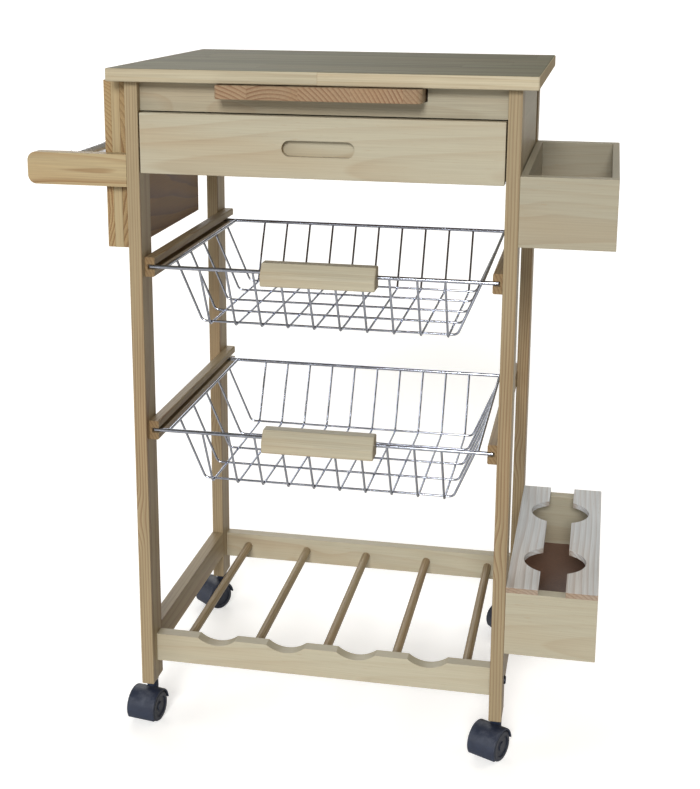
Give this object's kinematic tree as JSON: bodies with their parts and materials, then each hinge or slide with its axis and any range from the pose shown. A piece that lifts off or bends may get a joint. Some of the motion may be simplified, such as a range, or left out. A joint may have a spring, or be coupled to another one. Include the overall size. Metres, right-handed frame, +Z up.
{
  "type": "rolling pantry cart",
  "caption": "Rolling pine kitchen cart with worktop, pull-out board, drawer, sliding wire baskets, wine rack, knife block, towel rail and side boxes.",
  "frame": {"origin": "on the floor, at the bottom centre of the whole cart's box", "axes": "+Z up; -Y is the front, where the drawer and baskets pull out; +X is to the right, towards the spice box"},
  "size_m": [0.722, 0.4106, 0.87],
  "materials": {
    "arm_pine": "satin-lacquered pine",
    "block_core": "pale pine strips",
    "block_wood": "satin-lacquered pine",
    "board_wood": "plain pine, end grain at the front",
    "box_pine": "satin-lacquered pine",
    "caster_housing": "satin moulded plastic",
    "caster_wheel": "satin moulded plastic",
    "chrome_tube": "polished",
    "chrome_wire": "polished",
    "dowel_wood": "plain turned pine",
    "drawer_pine": "satin-lacquered pine, grain across",
    "frame_pine": "satin-lacquered pine",
    "handle_wood": "satin-lacquered pine",
    "hardboard": "smooth brown hardboard",
    "post_pine": "satin-lacquered pine, grain along the post",
    "rail_wood": "satin-lacquered pine",
    "runner_wood": "plain pine",
    "steel": "zinc-plated",
    "worktop_pine": "clear-lacquered solid pine"
  },
  "bodies": {
    "cart": {"basket_rail_lower_left": "rail_wood", "basket_rail_lower_right": "rail_wood", "basket_rail_upper_left": "rail_wood", "basket_rail_upper_right": "rail_wood", "board_runners": "runner_wood", "bottle_board_inner": "box_pine", "bottle_board_outer": "box_pine", "bottle_box_back": "box_pine", "bottle_box_floor": "hardboard", "bottle_box_front": "box_pine", "bottle_box_inner_wall": "box_pine", "bottle_box_outer_wall": "box_pine", "caster_sleeves": "steel", "drawer_runner_left": "runner_wood", "drawer_runner_right": "runner_wood", "frame_screws": "steel", "front_apron": "frame_pine", "knife_block_inner_board": "block_wood", "knife_block_outer_board": "block_wood", "knife_block_spacers": "block_core", "left_apron": "frame_pine", "post_front_left": "post_pine", "post_front_right": "post_pine", "post_rear_left": "post_pine", "post_rear_right": "post_pine", "rack_bolts": "steel", "rack_dowels": "dowel_wood", "rack_front_rail": "frame_pine", "rack_rear_rail": "frame_pine", "rack_side_rail_left": "frame_pine", "rack_side_rail_right": "frame_pine", "rear_apron": "frame_pine", "right_apron": "frame_pine", "spice_box_back": "box_pine", "spice_box_floor": "hardboard", "spice_box_front": "box_pine", "spice_box_inner_wall": "box_pine", "spice_box_outer_wall": "box_pine", "towel_arm_front": "arm_pine", "towel_arm_rear": "arm_pine", "towel_rail": "chrome_tube", "worktop": "worktop_pine"},
    "lower_basket": {"basket_handle_lower": "handle_wood", "basket_lower": "chrome_wire"},
    "upper_basket": {"basket_handle_upper": "handle_wood", "basket_upper": "chrome_wire"},
    "caster_front_left_swivel": {"caster_housing_front_left": "caster_housing"},
    "caster_front_right_swivel": {"caster_housing_front_right": "caster_housing"},
    "caster_rear_left_swivel": {"caster_housing_rear_left": "caster_housing"},
    "caster_rear_right_swivel": {"caster_housing_rear_right": "caster_housing"},
    "caster_front_left_wheels": {"caster_wheels_front_left": "caster_wheel"},
    "caster_front_right_wheels": {"caster_wheels_front_right": "caster_wheel"},
    "caster_rear_left_wheels": {"caster_wheels_rear_left": "caster_wheel"},
    "caster_rear_right_wheels": {"caster_wheels_rear_right": "caster_wheel"},
    "chopping_board": {"chopping_board": "board_wood"},
    "drawer": {"drawer_back": "drawer_pine", "drawer_bottom": "hardboard", "drawer_front": "drawer_pine", "drawer_side_left": "drawer_pine", "drawer_side_right": "drawer_pine"}
  },
  "joints": [
    {"name": "drawer_slide", "type": "slide", "parent": "cart", "child": "drawer", "axis": [0, -1, 0], "range_m": [0, 0.24]},
    {"name": "board_slide", "type": "slide", "parent": "cart", "child": "chopping_board", "axis": [0, -1, 0], "range_m": [0, 0.24]},
    {"name": "upper_basket_slide", "type": "slide", "parent": "cart", "child": "upper_basket", "axis": [0, -1, 0], "range_m": [0, 0.24]},
    {"name": "lower_basket_slide", "type": "slide", "parent": "cart", "child": "lower_basket", "axis": [0, -1, 0], "range_m": [0, 0.24]},
    {"name": "caster_front_left_turn", "type": "hinge", "parent": "cart", "child": "caster_front_left_swivel", "pos_m": [-0.22375, -0.16245, 0.06], "axis": [0, 0, 1], "continuous": true},
    {"name": "caster_front_left_roll", "type": "hinge", "parent": "caster_front_left_swivel", "child": "caster_front_left_wheels", "pos_m": [-0.2261, -0.17726, 0.02], "axis": [0.9877, -0.1564, 0], "continuous": true},
    {"name": "caster_front_right_turn", "type": "hinge", "parent": "cart", "child": "caster_front_right_swivel", "pos_m": [0.23975, -0.16245, 0.06], "axis": [0, 0, 1], "continuous": true},
    {"name": "caster_front_right_roll", "type": "hinge", "parent": "caster_front_right_swivel", "child": "caster_front_right_wheels", "pos_m": [0.23341, -0.17604, 0.02], "axis": [0.9063, -0.4226, 0], "continuous": true},
    {"name": "caster_rear_left_turn", "type": "hinge", "parent": "cart", "child": "caster_rear_left_swivel", "pos_m": [-0.22375, 0.17305, 0.06], "axis": [0, 0, 1], "continuous": true},
    {"name": "caster_rear_left_roll", "type": "hinge", "parent": "caster_rear_left_swivel", "child": "caster_rear_left_wheels", "pos_m": [-0.23298, 0.16123, 0.02], "axis": [0.788, -0.6157, 0], "continuous": true},
    {"name": "caster_rear_right_turn", "type": "hinge", "parent": "cart", "child": "caster_rear_right_swivel", "pos_m": [0.23975, 0.17305, 0.06], "axis": [0, 0, 1], "continuous": true},
    {"name": "caster_rear_right_roll", "type": "hinge", "parent": "caster_rear_right_swivel", "child": "caster_rear_right_wheels", "pos_m": [0.22826, 0.16341, 0.02], "axis": [0.6428, -0.766, 0], "continuous": true}
  ]
}
